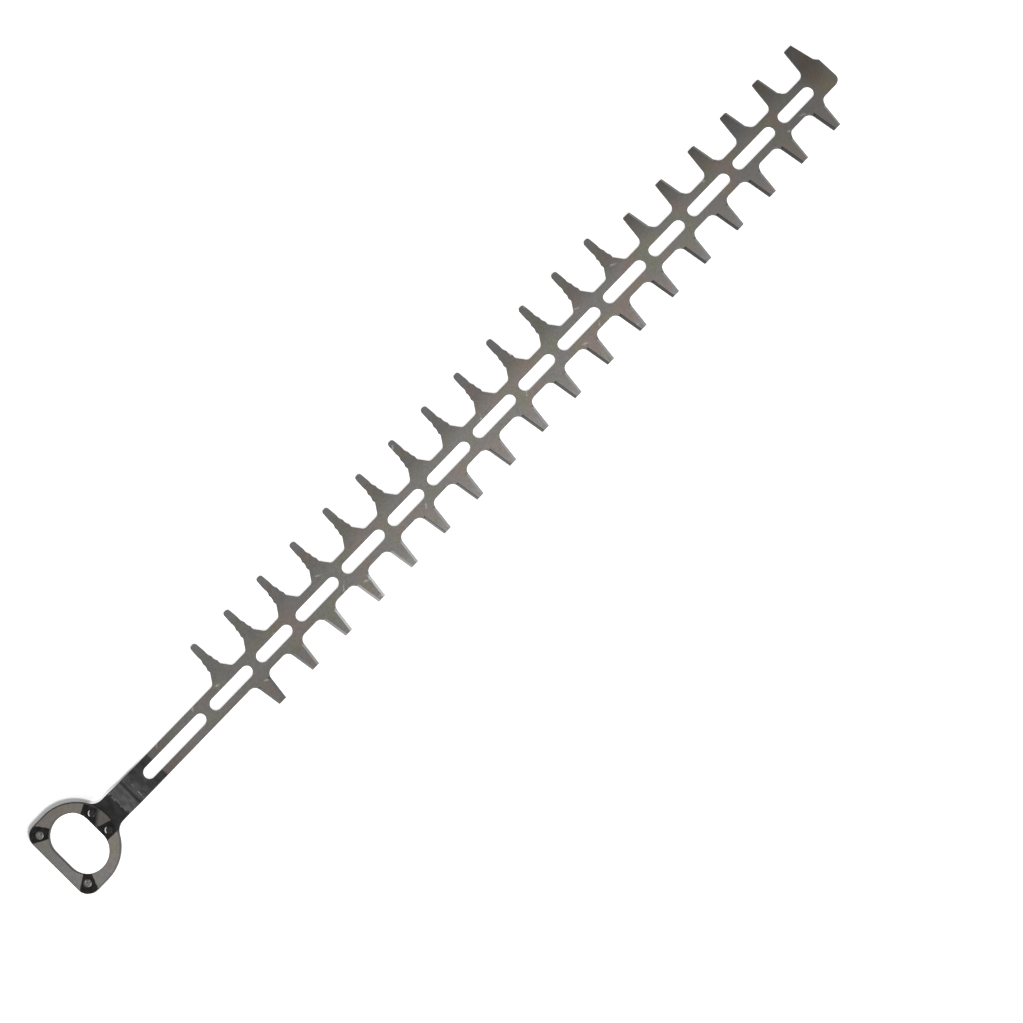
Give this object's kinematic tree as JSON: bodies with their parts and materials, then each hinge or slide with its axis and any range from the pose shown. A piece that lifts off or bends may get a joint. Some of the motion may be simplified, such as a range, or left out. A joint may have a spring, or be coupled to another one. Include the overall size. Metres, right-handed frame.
{
  "type": "hedge trimmer blade",
  "caption": "Long flat steel cutter bar with plain teeth and long scalloped teeth, guide slots along its middle and a doubled ring end whose oblong hole takes a drive cam.",
  "frame": {"origin": "middle of the cam hole, in the plane of the flat face that slides on the mating blade", "axes": "+X along the blade to its tip, +Y to the side with the scalloped teeth, +Z out of the outer face"},
  "size_m": [0.7074, 0.0662, 0.008],
  "materials": {
    "blade_steel": "ground and hardened grey steel, darkened by heat at the neck",
    "plate_steel": "grey steel with heat tint round the spot welds"
  },
  "bodies": {
    "root": {"cutter_bar": "blade_steel", "ring_plate": "plate_steel"}
  },
  "joints": []
}
